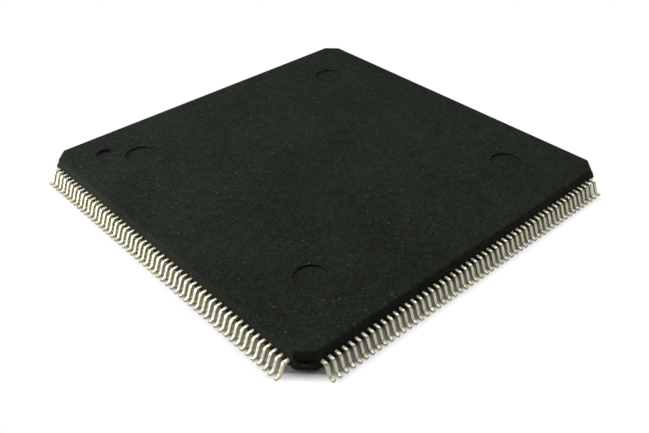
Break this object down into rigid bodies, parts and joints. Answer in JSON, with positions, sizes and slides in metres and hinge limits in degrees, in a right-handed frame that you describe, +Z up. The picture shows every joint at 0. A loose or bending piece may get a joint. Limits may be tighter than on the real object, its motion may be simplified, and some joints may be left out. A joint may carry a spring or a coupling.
{
  "type": "quad flat pack chip",
  "caption": "Thin square black moulded chip package with fine gull-wing leads along all four sides and a round dimple marking the first pin",
  "frame": {"origin": "centre of the square footprint, on the plane that the feet stand on", "axes": "+Z up out of the marked top face; +X and +Y along the sides, with the pin 1 dimple in the -X, +Y corner and the pins counted anticlockwise from there, so pins 1 to 52 are along the -X side"},
  "size_m": [0.03, 0.03, 0.0016],
  "materials": {
    "mould_compound": "moulded epoxy with a fine spark-eroded grain",
    "tinned_lead": "satin tin plate on stamped copper alloy",
    "copper_strip": "bare rolled copper alloy",
    "silver_filled_resin": "cured silver-filled resin",
    "silicon": "polished silicon",
    "polyimide_tape": "smooth polyimide film",
    "gold_wire": "drawn gold wire"
  },
  "bodies": {
    "root": {"mould_body": "mould_compound", "leads_1_to_52": "tinned_lead", "leads_53_to_104": "tinned_lead", "leads_105_to_156": "tinned_lead", "leads_157_to_208": "tinned_lead", "die_paddle": "copper_strip", "die_attach": "silver_filled_resin", "silicon_die": "silicon", "lead_lock_tape": "polyimide_tape", "bond_wires_1_to_52": "gold_wire", "bond_wires_53_to_104": "gold_wire", "bond_wires_105_to_156": "gold_wire", "bond_wires_157_to_208": "gold_wire"}
  },
  "joints": []
}
